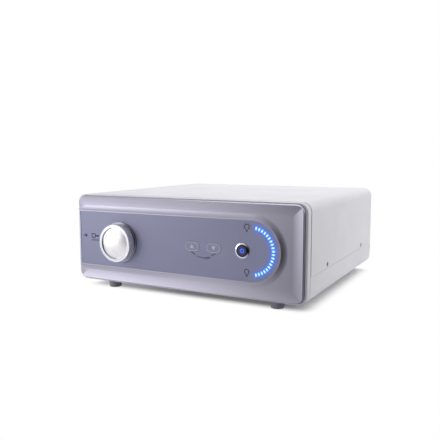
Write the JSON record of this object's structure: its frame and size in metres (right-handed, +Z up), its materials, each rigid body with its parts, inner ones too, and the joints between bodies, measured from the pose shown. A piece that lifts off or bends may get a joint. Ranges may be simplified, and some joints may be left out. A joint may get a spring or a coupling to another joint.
{
  "type": "fiber optic illuminator",
  "caption": "Bench-top light source in a shallow case, with a knurled light-guide socket, brightness keys, an arc gauge of lights and a lit power button.",
  "frame": {"origin": "on the surface it stands on, under the middle of the whole part's box", "axes": "+X to the right seen from the front, -Y towards the front panel, +Z up"},
  "size_m": [0.368, 0.355, 0.143],
  "materials": {
    "white_paint": "fine satin powder coat",
    "grey_paint": "satin powder coat",
    "white_moulding": "semi-gloss moulded",
    "bezel_moulding": "fine pearl grey paint on moulding",
    "overlay_print": "printed polyester film, fine texture",
    "key_print": "printed film with white outline",
    "light_bar": "clear moulded, lit blue",
    "chip_lamp": "moulded chip",
    "chrome_trim": "bright chrome",
    "polished_metal": "turned and polished",
    "satin_metal": "satin anodised",
    "bare_aluminium": "mill finish",
    "black_anodised": "matte black anodised",
    "jaw_steel": "ground",
    "steel_screw": "nickel plated",
    "plated_steel": "zinc plated",
    "brass_post": "plain",
    "button_dark": "smoked lens with a lit sign",
    "black_moulding": "fine texture",
    "board_green": "solder mask",
    "foot_rubber": "matte moulded",
    "filter_glass": "dichroic coated",
    "fuse_glass": "clear tube with plated ends",
    "lamp_ceramic": "alumina body"
  },
  "bodies": {
    "chassis": {"base_pan": "white_paint", "top_cover": "white_paint", "rear_panel": "grey_paint", "cover_screws": "steel_screw", "rubber_feet": "foot_rubber", "foot_screws": "steel_screw", "front_frame": "white_moulding", "front_bezel": "bezel_moulding", "bezel_screws": "steel_screw", "front_subpanel": "plated_steel", "subpanel_screws": "steel_screw", "control_overlay": "overlay_print", "gauge_light_bars": "light_bar", "gauge_lamps": "chip_lamp", "key_switches": "black_moulding", "display_board": "board_green", "display_posts": "brass_post", "display_screws": "steel_screw", "power_switch_ring": "chrome_trim", "power_switch_nut": "plated_steel", "power_switch_body": "black_moulding", "port_body": "satin_metal", "port_retaining_ring": "satin_metal", "heat_filter": "filter_glass", "filter_bracket": "plated_steel", "dimmer_motor": "plated_steel", "motor_bracket": "plated_steel", "lamp": "lamp_ceramic", "lamp_sink_front": "bare_aluminium", "lamp_sink_rear": "bare_aluminium", "lamp_bracket": "plated_steel", "lamp_screws": "steel_screw", "lamp_ballast": "bare_aluminium", "supply_cage": "plated_steel", "supply_board": "board_green", "main_board": "board_green", "main_board_posts": "brass_post", "fan_frame": "black_moulding", "fan_guard": "chrome_trim", "fan_screws": "steel_screw", "rear_panel_screws": "steel_screw", "mains_inlet": "black_moulding", "inlet_screws": "steel_screw", "earth_stud": "brass_post"},
    "clamp_collar": {"port_collar": "polished_metal"},
    "dust_cap": {"port_cap": "polished_metal", "cap_seal_ring": "foot_rubber"},
    "jaw_1": {"clamp_jaw_1": "jaw_steel"},
    "jaw_2": {"clamp_jaw_2": "jaw_steel"},
    "jaw_3": {"clamp_jaw_3": "jaw_steel"},
    "up_key": {"key_up": "key_print"},
    "down_key": {"key_down": "key_print"},
    "power_key": {"power_button": "button_dark"},
    "dimmer": {"dimmer_wheel": "black_anodised"},
    "rotor": {"fan_rotor": "black_moulding"},
    "drawer": {"fuse_drawer": "black_moulding", "fuses": "fuse_glass"}
  },
  "joints": [
    {"name": "collar_turn", "type": "hinge", "parent": "chassis", "child": "clamp_collar", "pos_m": [-0.102, -0.1685, 0.075], "axis": [0, 1, 0], "range_deg": [0, 60]},
    {"name": "cap_pull", "type": "slide", "parent": "clamp_collar", "child": "dust_cap", "axis": [0, -1, 0], "range_m": [0, 0.06]},
    {"name": "jaw_1_slide", "type": "slide", "parent": "chassis", "child": "jaw_1", "axis": [-1, 0, 0], "range_m": [0, 0.00398]},
    {"name": "jaw_2_slide", "type": "slide", "parent": "chassis", "child": "jaw_2", "axis": [0.5, 0, -0.866], "range_m": [0, 0.00398]},
    {"name": "jaw_3_slide", "type": "slide", "parent": "chassis", "child": "jaw_3", "axis": [0.5, 0, 0.866], "range_m": [0, 0.00398]},
    {"name": "up_key_press", "type": "slide", "parent": "chassis", "child": "up_key", "axis": [0, 1, 0], "range_m": [0, 0.0006], "stiffness_N_per_m": 800},
    {"name": "down_key_press", "type": "slide", "parent": "chassis", "child": "down_key", "axis": [0, 1, 0], "range_m": [0, 0.0006], "stiffness_N_per_m": 800},
    {"name": "power_press", "type": "slide", "parent": "chassis", "child": "power_key", "axis": [0, 1, 0], "range_m": [0, 0.0022], "stiffness_N_per_m": 900},
    {"name": "dimmer_turn", "type": "hinge", "parent": "chassis", "child": "dimmer", "pos_m": [-0.072, -0.1125, 0.075], "axis": [0, 1, 0], "range_deg": [-270, 0]},
    {"name": "fan_spin", "type": "hinge", "parent": "chassis", "child": "rotor", "pos_m": [-0.102, 0.1565, 0.078], "axis": [0, 1, 0], "continuous": true},
    {"name": "drawer_slide", "type": "slide", "parent": "chassis", "child": "drawer", "axis": [0, 1, 0], "range_m": [0, 0.022]}
  ],
  "couplings": [
    {"joint": "jaw_1_slide", "follows": "collar_turn", "m_per_rad": 0.0038},
    {"joint": "jaw_2_slide", "follows": "collar_turn", "m_per_rad": 0.0038},
    {"joint": "jaw_3_slide", "follows": "collar_turn", "m_per_rad": 0.0038}
  ]
}
